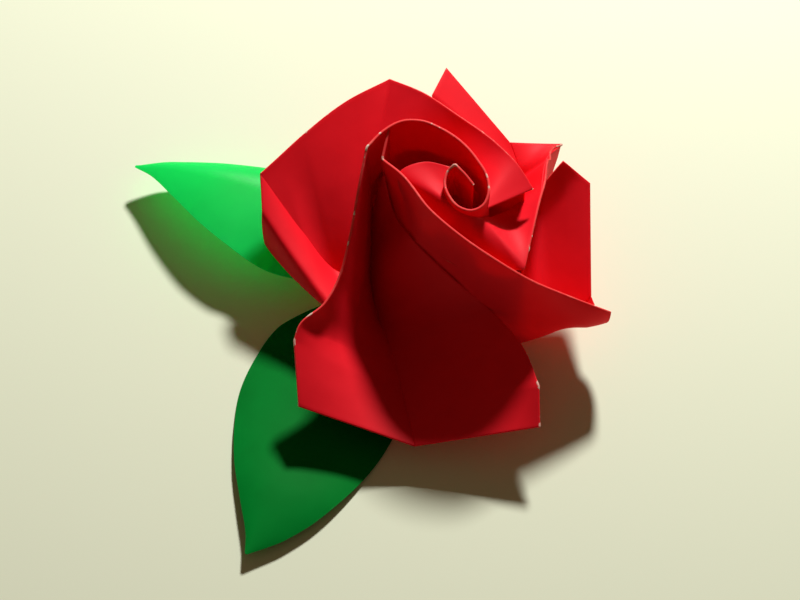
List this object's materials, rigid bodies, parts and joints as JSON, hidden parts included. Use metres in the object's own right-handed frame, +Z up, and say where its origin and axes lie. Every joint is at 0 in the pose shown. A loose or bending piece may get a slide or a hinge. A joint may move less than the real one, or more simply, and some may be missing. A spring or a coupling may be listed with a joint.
{
  "type": "paper flower",
  "caption": "Paper rose folded from one coated square into a rolled bud and pointed petals, with cut paper leaves glued under it.",
  "frame": {"origin": "on the underside of the rose's flat base, at table level, under the middle of the bud", "axes": "+Z up out of the bud, -Y towards the front petal, +X towards the right petal"},
  "size_m": [0.0778, 0.079, 0.028],
  "materials": {
    "red_paper": "coated craft paper, satin, its pale core bare along worn folds",
    "green_paper": "coloured craft paper, satin"
  },
  "bodies": {
    "root": {"rose": "red_paper", "leaf_left": "green_paper", "leaf_front": "green_paper"}
  },
  "joints": []
}
